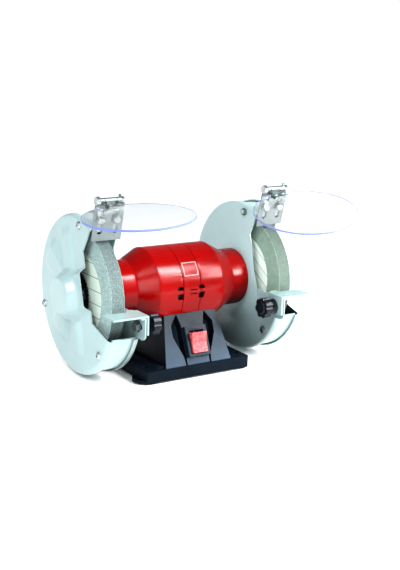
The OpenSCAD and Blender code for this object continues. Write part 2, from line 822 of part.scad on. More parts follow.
module rest_knob() {
    lobes = 7;
    star_t = 9;
    hub_end = rest_in - 1 - gap;
    pitch = 360 / lobes;
    difference() {
        union() {
            translate([knob_out, bolt_y, bolt_z]) rotate([0, 90, 0]) linear_extrude(star_t)
                difference() {
                    circle(knob_r);
                    for (k = [0 : lobes - 1]) rotate(k * pitch)
                        translate([knob_r + 2.2, 0]) circle(4);
                }
            translate([knob_out - 1.2, bolt_y, bolt_z]) rotate([0, 90, 0])
                cylinder(h = 1.3, r1 = 6, r2 = 7.5);
            rod(knob_out + star_t - eps, hub_end - 4, bolt_y, bolt_z, 6.4);
            translate([knob_out + star_t + 1.5, bolt_y, bolt_z]) rotate([0, 90, 0])
                cylinder(h = hub_end - knob_out - star_t - 1.5, r1 = 6.4, r2 = 9.4);
        }
        rod(knob_out + 2, through, bolt_y, bolt_z, rest_bolt_r + slip);
    }
}

module rest_knob_left() { color([0.05, 0.06, 0.09]) on_side(-1) rest_knob(); }
module rest_knob_right() { color([0.05, 0.06, 0.09]) on_side(1) rest_knob(); }

// ---------------------------------------------------------------- eye shields
// The brackets, bolts and shields of both sides face the same way, so the left ones are shifted
function side_x(side) = side * bracket_x;

// Frame on the hinge axis of one shield
module on_hinge(side) {
    translate([side_x(side), hinge_y, hinge_z]) children();
}

module shield_bracket(side) {
    ear_top = (hinge_z - bracket_z) / cos(bracket_lean);
    difference() {
        union() {
            translate([side_x(side), bracket_y, bracket_z]) rotate([90 + bracket_lean, 0, 0])
                translate([0, 0, -sheet]) linear_extrude(sheet) difference() {
                    union() {
                        translate([-bracket_w / 2, bracket_low])
                            square([bracket_w, bracket_high - bracket_low]);
                        for (k = [knuckle_left, knuckle_right]) translate([k[0], 0])
                            square([k[1] - k[0], ear_top]);
                        translate([knuckle_right[1] - 2.6, ear_top]) square([2.6, stop_h]);
                    }
                    for (s = [-1, 1]) slot_2d(
                        [s * bracket_pitch / 2, bracket_slot_low + bracket_slot_w / 2],
                        [s * bracket_pitch / 2, bracket_slot_high - bracket_slot_w / 2],
                        bracket_slot_w / 2);
                }
            on_hinge(side) for (k = [knuckle_left, knuckle_right]) rod(k[0], k[1], 0, 0, knuckle_r);
        }
        on_hinge(side) rod(-40, 40, 0, 0, hinge_r + slip);
    }
}

module shield_bracket_left() { color([0.76, 0.79, 0.78]) shield_bracket(-1); }
module shield_bracket_right() { color([0.76, 0.79, 0.78]) shield_bracket(1); }

module hinge_bolt(side) {
    on_hinge(side) {
        hex_rod(-18, knuckle_left[0], 0, 0, 9);
        rod(knuckle_left[0] - eps, 16.5, 0, 0, hinge_r);
        hex_rod(knuckle_right[1] + gap, knuckle_right[1] + gap + 3.2, 0, 0, 7);
    }
}

module hinge_bolt_left() { color([0.8, 0.82, 0.82]) hinge_bolt(-1); }
module hinge_bolt_right() { color([0.8, 0.82, 0.82]) hinge_bolt(1); }

// Frame on a shield disc's middle plane under the hinge: -Y runs to the disc's middle
module on_shield(side, tilt, lean) {
    on_hinge(side) rotate([tilt, 0, 0]) translate([0, 0, -shield_drop]) rotate([0, lean, 0])
        children();
}

module at_rivets() {
    for (s = [-1, 1]) translate([s * rivet_x, rivet_y, 0]) children();
}

module shield_disc(side, tilt, lean) {
    r = shield_d / 2;
    on_shield(side, tilt, lean) difference() {
        translate([0, -shield_reach, 0]) rotate_extrude() polygon([
            [0, -shield_t / 2], [r - 0.4, -shield_t / 2], [r, 0.4 - shield_t / 2],
            [r, shield_t / 2 - 0.4], [r - 0.4, shield_t / 2], [0, shield_t / 2]]);
        at_rivets() cylinder(h = 10, r = rivet_r + 0.1, center = true);
    }
}

module shield_disc_left() { color([0.85, 0.9, 1, 0.3]) shield_disc(-1, left_tilt, left_lean); }
module shield_disc_right() { color([0.85, 0.9, 1, 0.3]) shield_disc(1, right_tilt, right_lean); }

// Strap from the middle knuckle onto the disc, with two rivets and a backing strip
module shield_clamp(side, tilt, lean) {
    top = shield_t / 2;
    strap_x = knuckle_mid[0] + strap_inset;
    strap_w = knuckle_mid[1] - strap_inset - strap_x;
    difference() {
        union() {
            on_hinge(side) rod(knuckle_mid[0], knuckle_mid[1], 0, 0, knuckle_r);
            on_shield(side, tilt, lean) {
                translate([strap_x, -knuckle_r, top]) cube([strap_w, strap_t, shield_drop - top]);
                translate([strap_x, strip_back - 1, top])
                    cube([strap_w, strap_t - knuckle_r - strip_back + 1, strap_t]);
                translate([-strip_w / 2, strip_front, top])
                    cube([strip_w, strip_back - strip_front, strap_t]);
            }
        }
        on_hinge(side) rod(-40, 40, 0, 0, hinge_r + slip);
        on_shield(side, tilt, lean) at_rivets() cylinder(h = 10, r = rivet_r, center = true);
    }
    on_shield(side, tilt, lean) {
        at_rivets() {
            translate([0, 0, -top - 1]) cylinder(h = 2 * top + strap_t + 1.1, r = rivet_r);
            translate([0, 0, top + strap_t]) cylinder(h = 1.2, r1 = 2.9, r2 = 1.8);
        }
        difference() {
            translate([-strip_w / 2, strip_front + 2, -top - 1.2])
                cube([strip_w, strip_back - strip_front - 2, 1.2]);
            at_rivets() cylinder(h = 10, r = rivet_r, center = true);
        }
    }
}

module shield_clamp_left() { color([0.8, 0.82, 0.82]) shield_clamp(-1, left_tilt, left_lean); }
module shield_clamp_right() { color([0.8, 0.82, 0.82]) shield_clamp(1, right_tilt, right_lean); }

// ---------------------------------------------------------------- what is drawn
base();
base_plate();
base_plate_screws();
rubber_feet();
pedestal();
switch_block();
switch_body();
rocker();
capacitor();
cord_gland();
motor_bell_left();
motor_bell_right();
motor_band();
motor_badge();
motor_mount_bolts();
stator_core();
stator_windings();
motor_bearings();
shaft();
rotor_core();
wheel_left();
wheel_right();
wheel_labels_left();
wheel_labels_right();
wheel_flanges_left();
wheel_flanges_right();
spindle_nuts();
guard_plate_left();
guard_plate_right();
guard_wall_left();
guard_wall_right();
guard_cover_left();
guard_cover_right();
guard_screws();
guard_nuts();
bracket_screws();
bracket_washers();
bracket_nuts();
tool_rest_left();
tool_rest_right();
rest_bolt_left();
rest_bolt_right();
rest_washers_left();
rest_washers_right();
rest_knob_left();
rest_knob_right();
shield_bracket_left();
shield_bracket_right();
hinge_bolt_left();
hinge_bolt_right();
shield_disc_left();
shield_disc_right();
shield_clamp_left();
shield_clamp_right();
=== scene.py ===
import json
import math

import bmesh
import bpy
from mathutils import Matrix, Vector


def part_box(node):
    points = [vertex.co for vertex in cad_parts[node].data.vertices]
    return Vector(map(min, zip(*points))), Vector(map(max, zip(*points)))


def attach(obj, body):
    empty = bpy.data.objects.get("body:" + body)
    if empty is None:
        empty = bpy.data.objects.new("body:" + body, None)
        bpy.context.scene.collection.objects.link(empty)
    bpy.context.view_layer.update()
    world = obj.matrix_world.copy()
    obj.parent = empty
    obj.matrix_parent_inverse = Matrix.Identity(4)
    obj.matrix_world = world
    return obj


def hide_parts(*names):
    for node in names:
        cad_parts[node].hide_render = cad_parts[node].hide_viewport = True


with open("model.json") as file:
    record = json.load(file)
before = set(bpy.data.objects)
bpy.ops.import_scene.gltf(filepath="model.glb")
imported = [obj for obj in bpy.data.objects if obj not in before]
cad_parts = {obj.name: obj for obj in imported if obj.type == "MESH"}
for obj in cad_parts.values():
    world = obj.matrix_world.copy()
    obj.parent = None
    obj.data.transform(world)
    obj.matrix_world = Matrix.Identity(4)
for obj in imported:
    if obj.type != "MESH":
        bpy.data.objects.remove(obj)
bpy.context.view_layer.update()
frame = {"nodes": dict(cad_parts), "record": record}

record = frame["record"]
nodes = frame["nodes"]
SIDES = (("left", -1.0), ("right", 1.0))


def mm(*values):
    return Vector(values) * 0.001


def middle(name):
    low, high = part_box(name)
    return (low + high) / 2


AXIS = middle("shaft")
BARREL_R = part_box("motor_band")[1].y
RED_DARK = (0.200, 0.0004, 0.0003)
RED_LIGHT = (0.222, 0.0006, 0.0005)
GUARD_DARK = (0.270, 0.372, 0.378)
GUARD_LIGHT = (0.286, 0.394, 0.400)


# ---------------------------------------------------------------- camera, floor and light
AZIMUTH = math.radians(-32.82)
ELEVATION = math.radians(13.74)
ROLL = math.radians(1.57)
DISTANCE = 1.25928
TARGET = mm(39.98, 0.0, 91.86)
LENS = 65.32


def make_camera():
    data = bpy.data.cameras.new("camera")
    data.sensor_width = 36.0
    data.lens = LENS
    data.clip_start = 0.05
    data.clip_end = 60.0
    camera = bpy.data.objects.new("camera", data)
    bpy.context.scene.collection.objects.link(camera)
    back = Vector((
        math.sin(AZIMUTH) * math.cos(ELEVATION),
        -math.cos(AZIMUTH) * math.cos(ELEVATION),
        math.sin(ELEVATION),
    ))
    side = Vector((math.cos(AZIMUTH), math.sin(AZIMUTH), 0.0))
    up = back.cross(side)
    right = side * math.cos(ROLL) + up * math.sin(ROLL)
    up = back.cross(right)
    turn = Matrix((right, up, back)).transposed().to_4x4()
    camera.matrix_world = Matrix.Translation(TARGET + back * DISTANCE) @ turn
    bpy.context.scene.camera = camera


def make_world():
    world = bpy.data.worlds.new("studio")
    world.use_nodes = True
    tree = world.node_tree
    tree.nodes.clear()
    output = tree.nodes.new("ShaderNodeOutputWorld")
    background = tree.nodes.new("ShaderNodeBackground")
    coord = tree.nodes.new("ShaderNodeTexCoord")
    split = tree.nodes.new("ShaderNodeSeparateXYZ")
    ramp = tree.nodes.new("ShaderNodeValToRGB")
    ramp.color_ramp.elements[0].position = 0.04
    ramp.color_ramp.elements[0].color = (1.0, 1.0, 1.0, 1.0)
    ramp.color_ramp.elements[1].position = 0.18
    ramp.color_ramp.elements[1].color = (0.30, 0.33, 0.35, 1.0)
    tree.links.new(coord.outputs["Generated"], split.inputs[0])
    tree.links.new(split.outputs["Z"], ramp.inputs["Fac"])
    tree.links.new(ramp.outputs["Color"], background.inputs["Color"])
    background.inputs["Strength"].default_value = 1.0
    tree.links.new(background.outputs[0], output.inputs[0])
    bpy.context.scene.world = world
    bpy.context.scene.view_settings.view_transform = "Standard"
    bpy.context.scene.view_settings.look = "Medium High Contrast"


def make_light(name, kind, towards, distance, energy, size, colour=(1.0, 1.0, 1.0), aim=None):
    data = bpy.data.lights.new(name, kind)
    data.energy = energy
    data.color = colour
    if kind == "AREA":
        data.shape = "RECTANGLE"
        data.size = size[0]
        data.size_y = size[1]
    else:
        data.angle = size
    light = bpy.data.objects.new(name, data)
    bpy.context.scene.collection.objects.link(light)
    away = Vector(towards).normalized()
    centre = Vector(aim) if aim else mm(0.0, 0.0, 99.0)
    light.location = centre + away * distance
    light.rotation_mode = "QUATERNION"
    light.rotation_quaternion = away.to_track_quat("Z", "Y")


def make_lights():
    make_light("overhead", "SUN", (-0.7, -0.4, 0.8), 3.0, 3.0, math.radians(35))
    make_light("strip", "AREA", (0.526, -0.64, 0.56), 1.0, 24.0, (0.15, 0.75))
    make_light("side", "AREA", (-0.5, -0.8, 0.25), 1.3, 5.0, (0.16, 0.8))


def make_floor():
    size = 20.0
    mesh = bpy.data.meshes.new("floor")
    corners = [(-size, -size, 0.0), (size, -size, 0.0), (size, size, 0.0), (-size, size, 0.0)]
    mesh.from_pydata(corners, [], [(0, 1, 2, 3)])
    floor = bpy.data.objects.new("floor", mesh)
    bpy.context.scene.collection.objects.link(floor)
    mat, tree, shader = blank("floor_white")
    shader.inputs["Base Color"].default_value = (0.90, 0.90, 0.90, 1.0)
    shader.inputs["Roughness"].default_value = 0.9
    shader.inputs["Specular IOR Level"].default_value = 0.0
    mesh.materials.append(mat)


# ---------------------------------------------------------------- materials
def blank(name):
    mat = bpy.data.materials.new(name)
    mat.use_nodes = True
    tree = mat.node_tree
    shader = tree.nodes["Principled BSDF"]
    return mat, tree, shader


def coords(tree):
    return tree.nodes.new("ShaderNodeTexCoord").outputs["Object"]


def noise(tree, scale, detail=3.0, rough=0.55):
    node = tree.nodes.new("ShaderNodeTexNoise")
    node.inputs["Scale"].default_value = scale
    node.inputs["Detail"].default_value = detail
    node.inputs["Roughness"].default_value = rough
    tree.links.new(coords(tree), node.inputs["Vector"])
    return node.outputs["Fac"]


def ramp(tree, value, stops):
    node = tree.nodes.new("ShaderNodeValToRGB")
    elements = node.color_ramp.elements
    while len(elements) < len(stops):
        elements.new(0.5)
    for element, (position, colour) in zip(elements, stops):
        element.position = position
        element.color = (*colour, 1.0)
    tree.links.new(value, node.inputs["Fac"])
    return node.outputs["Color"]


def spread(tree, value, low, high, start=0.3, end=0.7):
    node = tree.nodes.new("ShaderNodeMapRange")
    node.inputs["From Min"].default_value = start
    node.inputs["From Max"].default_value = end
    node.inputs["To Min"].default_value = low
    node.inputs["To Max"].default_value = high
    tree.links.new(value, node.inputs["Value"])
    return node.outputs["Result"]


def bump(tree, shader, height, distance, strength=1.0):
    node = tree.nodes.new("ShaderNodeBump")
    node.inputs["Distance"].default_value = distance
    node.inputs["Strength"].default_value = strength
    tree.links.new(height, node.inputs["Height"])
    tree.links.new(node.outputs["Normal"], shader.inputs["Normal"])


def blend(tree, factor, first, second):
    node = tree.nodes.new("ShaderNodeMix")
    node.data_type = "RGBA"
    tree.links.new(factor, node.inputs["Factor"])
    for value, socket in ((first, node.inputs["A"]), (second, node.inputs["B"])):
        if isinstance(value, tuple):
            socket.default_value = (*value, 1.0)
        else:
            tree.links.new(value, socket)
    return node.outputs["Result"]


def calc(tree, kind, first, second=None, third=None):
    node = tree.nodes.new("ShaderNodeMath")
    node.operation = kind
    for k, value in enumerate((first, second, third)):
        if value is None:
            continue
        if isinstance(value, (int, float)):
            node.inputs[k].default_value = value
        else:
            tree.links.new(value, node.inputs[k])
    return node.outputs[0]


def paint(name, dark, light, rough, coat=0.0, grain=900.0, depth=0.00004, specular=0.5):
    """Sprayed or powder-coated surface: soft colour variation and a fine orange peel."""
    mat, tree, shader = blank(name)
    colour = ramp(tree, noise(tree, 26.0, 4.0), [(0.35, dark), (0.65, light)])
    tree.links.new(colour, shader.inputs["Base Color"])
    tree.links.new(spread(tree, noise(tree, 45.0), rough * 0.96, rough * 1.05), shader.inputs["Roughness"])
    shader.inputs["Coat Weight"].default_value = coat
    shader.inputs["Coat Roughness"].default_value = 0.08
    shader.inputs["Specular IOR Level"].default_value = specular
    bump(tree, shader, noise(tree, grain, 2.0), depth)
    return mat


def dimmed(tree, colour, level):
    node = tree.nodes.new("ShaderNodeVectorMath")
    node.operation = "SCALE"
    tree.links.new(colour, node.inputs[0])
    tree.links.new(level, node.inputs["Scale"])
    return node.outputs[0]


def sideways(tree):
    """How far the surface faces along the shaft, from 0 to 1."""
    turn = tree.nodes.new("ShaderNodeSeparateXYZ")
    tree.links.new(tree.nodes.new("ShaderNodeTexCoord").outputs["Normal"], turn.inputs[0])
    return calc(tree, "ABSOLUTE", turn.outputs["X"])


def shaded(mat, along, full, end, least, past=None):
    """Painted shade: darkens the base colour from `full` to `end` metres along an axis, beyond `past` on X if
    given.
    """
    tree = mat.node_tree
    shader = tree.nodes["Principled BSDF"]
    colour = shader.inputs["Base Color"].links[0].from_socket
    place = tree.nodes.new("ShaderNodeSeparateXYZ")
    tree.links.new(coords(tree), place.inputs[0])
    fade = spread(tree, place.outputs[along], 0.0, 1.0, full, end)
    if past:
        out = calc(tree, "ABSOLUTE", place.outputs["X"])
        fade = calc(tree, "MULTIPLY", fade, spread(tree, out, 0.0, 1.0, past[0], past[1]))
    level = spread(tree, fade, 1.0, least, 0.0, 1.0)
    tree.links.new(dimmed(tree, colour, level), shader.inputs["Base Color"])
    return mat


def moulded(name, dark, light, rough, specular=0.5, grain=2600.0, depth=0.00005):
    """Moulded plastic with a fine eroded grain."""
    mat, tree, shader = blank(name)
    colour = ramp(tree, noise(tree, 35.0, 3.0), [(0.35, dark), (0.65, light)])
    tree.links.new(colour, shader.inputs["Base Color"])
    tree.links.new(spread(tree, noise(tree, 90.0), rough * 0.9, rough * 1.12), shader.inputs["Roughness"])
    shader.inputs["Specular IOR Level"].default_value = specular
    bump(tree, shader, noise(tree, grain, 2.0), depth)
    return mat


def steel(name, dark, light, rough, streak=1.0):
    """Plated or machined steel with faint drawn streaks."""
    mat, tree, shader = blank(name)
    mapping = tree.nodes.new("ShaderNodeMapping")
    mapping.inputs["Scale"].default_value = (1.0, 1.0, 8.0 * streak)
    tree.links.new(coords(tree), mapping.inputs["Vector"])
    node = tree.nodes.new("ShaderNodeTexNoise")
    node.inputs["Scale"].default_value = 240.0
    node.inputs["Detail"].default_value = 4.0
    tree.links.new(mapping.outputs[0], node.inputs["Vector"])
    colour = ramp(tree, node.outputs["Fac"], [(0.3, dark), (0.7, light)])
    tree.links.new(colour, shader.inputs["Base Color"])
    tree.links.new(spread(tree, node.outputs["Fac"], rough * 0.8, rough * 1.3), shader.inputs["Roughness"])
    shader.inputs["Metallic"].default_value = 1.0
    bump(tree, shader, node.outputs["Fac"], 0.00003)
    return mat


def grit(name, body, spark, hole, size):
    """Bonded abrasive: packed grains with pores between them; painted shade darkens the rim and painted light
    brightens the sides.
    """
    mat, tree, shader = blank(name)
    grains = tree.nodes.new("ShaderNodeTexVoronoi")
    grains.inputs["Scale"].default_value = size
    tree.links.new(coords(tree), grains.inputs["Vector"])
    shade = tree.nodes.new("ShaderNodeSeparateColor")
    tree.links.new(grains.outputs["Color"], shade.inputs[0])
    colour = ramp(tree, shade.outputs[0], [(0.05, hole), (0.3, body), (0.7, body), (0.97, spark)])
    mottled = blend(tree, spread(tree, noise(tree, size * 0.12), 0.0, 0.35), colour, hole)
    # Painted shade and light: the rim is darkened to half and the sides brightened by a fifth.
    rim = calc(tree, "LESS_THAN", sideways(tree), 0.5)
    rim_shade = dimmed(tree, mottled, spread(tree, rim, 1.2, 0.5, 0.0, 1.0))
    tree.links.new(rim_shade, shader.inputs["Base Color"])
    tree.links.new(spread(tree, shade.outputs[1], 0.55, 1.0, 0.0, 1.0), shader.inputs["Roughness"])
    rough_tops = calc(tree, "MULTIPLY", noise(tree, size * 2.0), 0.6)
    height = calc(tree, "ADD", grains.outputs["Distance"], rough_tops)
    bump(tree, shader, height, 0.0006, 0.8)
    return mat


def inner_shade_paint():
    """Painted shade: near-black coat for the inner side of the guard pressings."""
    mat, tree, shader = blank("guard_inner_shade")
    colour = ramp(tree, noise(tree, 40.0), [(0.35, (0.010, 0.014, 0.014)), (0.65, (0.020, 0.026, 0.026))])
    tree.links.new(colour, shader.inputs["Base Color"])
    shader.inputs["Roughness"].default_value = 0.6
    shader.inputs["Specular IOR Level"].default_value = 0.2
    bump(tree, shader, noise(tree, 900.0, 2.0), 0.00005)
    return mat


def enamel_with_inner_shade():
    """Guard enamel on the rolled wall's outer face and near-black painted shade on the face towards the wheel.
    """
    mat = paint("wall_paint_with_shade", GUARD_DARK, GUARD_LIGHT, 0.34, 0.2)
    tree = mat.node_tree
    shader = tree.nodes["Principled BSDF"]
    outer = shader.inputs["Base Color"].links[0].from_socket
    place = tree.nodes.new("ShaderNodeSeparateXYZ")
    tree.links.new(coords(tree), place.inputs[0])
    towards = tree.nodes.new("ShaderNodeCombineXYZ")
    tree.links.new(calc(tree, "SUBTRACT", 0.0, place.outputs["Y"]), towards.inputs[1])
    tree.links.new(calc(tree, "SUBTRACT", AXIS.z, place.outputs["Z"]), towards.inputs[2])
    unit = tree.nodes.new("ShaderNodeVectorMath")
    unit.operation = "NORMALIZE"
    tree.links.new(towards.outputs[0], unit.inputs[0])
    facing = tree.nodes.new("ShaderNodeVectorMath")
    facing.operation = "DOT_PRODUCT"
    tree.links.new(unit.outputs[0], facing.inputs[0])
    tree.links.new(tree.nodes.new("ShaderNodeTexCoord").outputs["Normal"], facing.inputs[1])
    # Painted shade: faces turned towards the shaft go near black.
    inward = calc(tree, "GREATER_THAN", facing.outputs["Value"], 0.5)
    tree.links.new(blend(tree, inward, outer, (0.014, 0.019, 0.019)), shader.inputs["Base Color"])
    return mat


def label_paper(name, dark, light, slope, spacing):
    """Blotter paper with thin printed rules across it."""
    mat, tree, shader = blank(name)
    fibres = ramp(tree, noise(tree, 700.0, 4.0), [(0.3, dark), (0.7, light)])
    place = tree.nodes.new("ShaderNodeSeparateXYZ")
    tree.links.new(coords(tree), place.inputs[0])
    rise = calc(tree, "MULTIPLY", place.outputs["Z"], math.cos(slope))
    along = calc(tree, "SUBTRACT", rise, calc(tree, "MULTIPLY", place.outputs["Y"], math.sin(slope)))
    repeat = calc(tree, "FRACT", calc(tree, "DIVIDE", calc(tree, "ADD", along, 1.0), spacing))
    line = calc(tree, "LESS_THAN", repeat, 0.05)
    tree.links.new(blend(tree, line, fibres, (0.05, 0.06, 0.06)), shader.inputs["Base Color"])
    shader.inputs["Roughness"].default_value = 0.75
    shader.inputs["Specular IOR Level"].default_value = 0.2
    bump(tree, shader, noise(tree, 1200.0), 0.00003)
    return mat


def badge_enamel():
    """The badge's raised rim is painted pale pink as a painted highlight, its sunk middle is the housing's red.
    """
    mat = paint("badge_enamel", RED_DARK, RED_LIGHT, 0.22, 0.0, 700.0, 0.00001, 0.1)
    tree = mat.node_tree
    shader = tree.nodes["Principled BSDF"]
    body = shader.inputs["Base Color"].links[0].from_socket
    place = tree.nodes.new("ShaderNodeSeparateXYZ")
    tree.links.new(coords(tree), place.inputs[0])
    height = calc(tree, "SUBTRACT", place.outputs["Z"], AXIS.z)
    deep = calc(tree, "POWER", place.outputs["Y"], 2.0)
    high = calc(tree, "POWER", height, 2.0)
    radius = calc(tree, "SQRT", calc(tree, "ADD", deep, high))
    raised = calc(tree, "GREATER_THAN", radius, BARREL_R + 0.00065)
    # Painted highlight: the raised rim is pale pink.
    tree.links.new(blend(tree, raised, body, (0.72, 0.30, 0.30)), shader.inputs["Base Color"])
    return mat


def pedestal_slate():
    """Slate grey moulding, darker towards the top as a painted stand-in for sheen low on the front; the sides
    and the pockets are painted near black as painted shade.
    """
    mat = moulded("pedestal_slate", (0.024, 0.042, 0.066), (0.029, 0.051, 0.078), 0.42, 0.15)
    # Painted gradient: darker towards the top, standing in for the sheen low on the front.
    shaded(mat, "Z", 0.018, 0.062, 0.30)
    tree = mat.node_tree
    shader = tree.nodes["Principled BSDF"]
    colour = shader.inputs["Base Color"].links[0].from_socket
    # Painted shade: faces along the shaft, the sides and pocket walls, go near black.
    side = spread(tree, sideways(tree), 0.0, 1.0, 0.35, 0.8)
    tree.links.new(blend(tree, side, colour, (0.0025, 0.004, 0.007)), shader.inputs["Base Color"])
    return mat


def rocker_plastic():
    """Clear red rocker with small facets moulded inside it; the lighter facets are painted glints."""
    mat, tree, shader = blank("rocker_red")
    facets = tree.nodes.new("ShaderNodeTexVoronoi")
    facets.inputs["Scale"].default_value = 420.0
    tree.links.new(coords(tree), facets.inputs["Vector"])
    shade = tree.nodes.new("ShaderNodeSeparateColor")
    tree.links.new(facets.outputs["Color"], shade.inputs[0])
    # Painted glints: the lighter facet cells.
    colour = ramp(tree, shade.outputs[0], [(0.1, (0.38, 0.045, 0.05)), (0.97, (0.50, 0.11, 0.12))])
    tree.links.new(colour, shader.inputs["Base Color"])
    shader.inputs["Roughness"].default_value = 0.15
    shader.inputs["Specular IOR Level"].default_value = 0.3
    shader.inputs["Subsurface Weight"].default_value = 0.35
    shader.inputs["Subsurface Radius"].default_value = (0.004, 0.001, 0.001)
    shader.inputs["Subsurface Scale"].default_value = 1.0
    bump(tree, shader, facets.outputs["Distance"], 0.0001, 0.12)
    return mat


def clear_plastic(name, axis):
    """Clear sheet: the cut edge is painted a pale violet tint as a painted reflection, the faces stay almost
    invisible.
    """
    mat, tree, shader = blank(name)
    facing = tree.nodes.new("ShaderNodeVectorMath")
    facing.operation = "DOT_PRODUCT"
    facing.inputs[0].default_value = axis
    tree.links.new(tree.nodes.new("ShaderNodeTexCoord").outputs["Normal"], facing.inputs[1])
    flat = calc(tree, "GREATER_THAN", calc(tree, "ABSOLUTE", facing.outputs["Value"]), 0.9)
    faint = ramp(tree, noise(tree, 30.0), [(0.35, (0.90, 0.915, 0.92)), (0.65, (0.925, 0.935, 0.94))])
    # Painted reflection: faces that are not flat, the cut edge, take a violet tint.
    tree.links.new(blend(tree, flat, (0.20, 0.25, 0.60), faint), shader.inputs["Base Color"])
    tree.links.new(spread(tree, flat, 0.35, 0.96, 0.0, 1.0), shader.inputs["Transmission Weight"])
    shader.inputs["IOR"].default_value = 1.33
    shader.inputs["Roughness"].default_value = 0.02
    bump(tree, shader, noise(tree, 12.0, 1.0), 0.00008)
    return mat


def laminated(name):
    """Stacked electrical steel, seen as fine lines along the shaft, kept near black as painted shade for the
    motor's inside.
    """
    mat, tree, shader = blank(name)
    place = tree.nodes.new("ShaderNodeSeparateXYZ")
    tree.links.new(coords(tree), place.inputs[0])
    layer = calc(tree, "FRACT", calc(tree, "DIVIDE", calc(tree, "ADD", place.outputs["X"], 1.0), 0.0012))
    # Painted shade: the laminations are kept near black.
    colour = ramp(tree, layer, [(0.1, (0.006, 0.006, 0.007)), (0.35, (0.035, 0.035, 0.037))])
    tree.links.new(colour, shader.inputs["Base Color"])
    shader.inputs["Metallic"].default_value = 0.8
    shader.inputs["Roughness"].default_value = 0.45
    bump(tree, shader, layer, 0.0001)
    return mat


def copper_winding():
    mat, tree, shader = blank("winding")
    wave = tree.nodes.new("ShaderNodeTexWave")
    wave.bands_direction = "X"
    wave.inputs["Scale"].default_value = 280.0
    wave.inputs["Distortion"].default_value = 3.0
    tree.links.new(coords(tree), wave.inputs["Vector"])
    colour = ramp(tree, wave.outputs["Fac"], [(0.2, (0.12, 0.035, 0.012)), (0.8, (0.62, 0.24, 0.09))])
    tree.links.new(colour, shader.inputs["Base Color"])
    shader.inputs["Metallic"].default_value = 0.6
    shader.inputs["Roughness"].default_value = 0.35
    bump(tree, shader, wave.outputs["Fac"], 0.0003)
    return mat


# ---------------------------------------------------------------- mesh tools
def arc_corners(points, radii, steps=6):
    """Path with each inner corner rounded to its radius."""
    path = [Vector(points[0])]
    for k in range(1, len(points) - 1):
        here = Vector(points[k])
        before = Vector(points[k - 1]) - here
        after = Vector(points[k + 1]) - here
        radius = radii[k]
        if radius <= 0.0:
            path.append(here)
            continue
        turn = before.angle(after) / 2
        reach = min(radius / math.tan(turn), before.length * 0.49, after.length * 0.49)
        start = here + before.normalized() * reach
        end = here + after.normalized() * reach
        for step in range(steps + 1):
            t = step / steps
            path.append(start * (1 - t) ** 2 + here * (2 * t * (1 - t)) + end * t ** 2)
    path.append(Vector(points[-1]))
    return path


def ease(value):
    value = min(max(value, 0.0), 1.0)
    return value * value * (3.0 - 2.0 * value)


def new_object(name, verts, faces):
    mesh = bpy.data.meshes.new(name)
    mesh.from_pydata([tuple(v) for v in verts], [], faces)
    form = bmesh.new()
    form.from_mesh(mesh)
    bmesh.ops.recalc_face_normals(form, faces=form.faces)
    form.to_mesh(mesh)
    form.free()
    obj = bpy.data.objects.new(name, mesh)
    bpy.context.scene.collection.objects.link(obj)
    return obj


def turned_skin(name, path, angles, sign, lift=None, reach=None, inner_from=None):
    """Closed skin about the shaft. Path points are (x, radius, lifted); a radius of 0 is a tip."""
    verts = []
    rows = []
    for x, radius, lifted in path:
        row = []
        for angle in angles if radius > 0.0 else angles[:1]:
            r = radius * (reach(x, radius, angle) if reach else 1.0)
            y = -r * math.cos(angle)
            z = r * math.sin(angle)
            rise = lift(y, z) if lift and lifted else 0.0
            row.append(len(verts))
            verts.append(mm(sign * (x + rise), y, z + AXIS.z * 1000))
        rows.append(row)
    faces = []
    marks = []
    count = len(angles)
    closed = path[0][1] > 0.0
    for k in range(len(rows) if closed else len(rows) - 1):
        first = rows[k]
        second = rows[(k + 1) % len(rows)]
        for j in range(count):
            n = (j + 1) % count
            if len(first) == 1:
                face = (first[0], second[j], second[n])
            elif len(second) == 1:
                face = (first[j], second[0], first[n])
            else:
                face = (first[j], second[j], second[n], first[n])
            faces.append(face)
            marks.append(1 if inner_from is not None and k >= inner_from else 0)
    obj = new_object(name, verts, faces)
    obj.data.polygons.foreach_set("material_index", marks)
    return obj


def prism(name, outline, start, end, axis="X"):
    """Closed prism on an outline of millimetre points, run along X or along Y."""
    verts = []
    for along in (start, end):
        for a, b in outline:
            verts.append(mm(along, a, b) if axis == "X" else mm(a, along, b))
    count = len(outline)
    faces = [tuple(range(count)), tuple(range(count, 2 * count))]
    for k in range(count):
        n = (k + 1) % count
        faces.append((k, n, count + n, count + k))
    return new_object(name, verts, faces)


def joined(name, objects):
    form = bmesh.new()
    for obj in objects:
        form.from_mesh(obj.data)
        bpy.data.objects.remove(obj)
    mesh = bpy.data.meshes.new(name)
    form.to_mesh(mesh)
    form.free()
    obj = bpy.data.objects.new(name, mesh)
    bpy.context.scene.collection.objects.link(obj)
    return obj


def carve(obj, tool, operation="DIFFERENCE", keep=False):
    """Apply one exact boolean and drop its tool."""
    cut = obj.modifiers.new("cut", "BOOLEAN")
    cut.object = tool
    cut.operation = operation
    cut.solver = "EXACT"
    bpy.context.view_layer.update()
    graph = bpy.context.evaluated_depsgraph_get()
    mesh = bpy.data.meshes.new_from_object(obj.evaluated_get(graph))
    obj.modifiers.clear()
    obj.data = mesh
    if not keep:
        bpy.data.objects.remove(tool)


def smooth(obj, angle=30.0):
    mesh = obj.data
    mesh.polygons.foreach_set("use_smooth", [True] * len(mesh.polygons))
    mesh.set_sharp_from_angle(angle=math.radians(angle))


def soften(obj, width, segments=2, angle=32.0, weld=True):
    if weld:
        merge = obj.modifiers.new("weld", "WELD")
        merge.merge_threshold = 0.000004
    bevel = obj.modifiers.new("bevel", "BEVEL")
    bevel.width = width
    bevel.segments = segments
    bevel.limit_method = "ANGLE"
    bevel.angle_limit = math.radians(angle)
    bevel.harden_normals = True


def hand_over(obj, slot, body, mats, *replaced):
    for mat in mats:
        obj.data.materials.append(mat)
    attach(obj, body)
    if replaced:
        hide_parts(*replaced)


def dress(mat, *names):
    for name in names:
        obj = nodes[name]
        obj.data.materials.clear()
        obj.data.materials.append(mat)


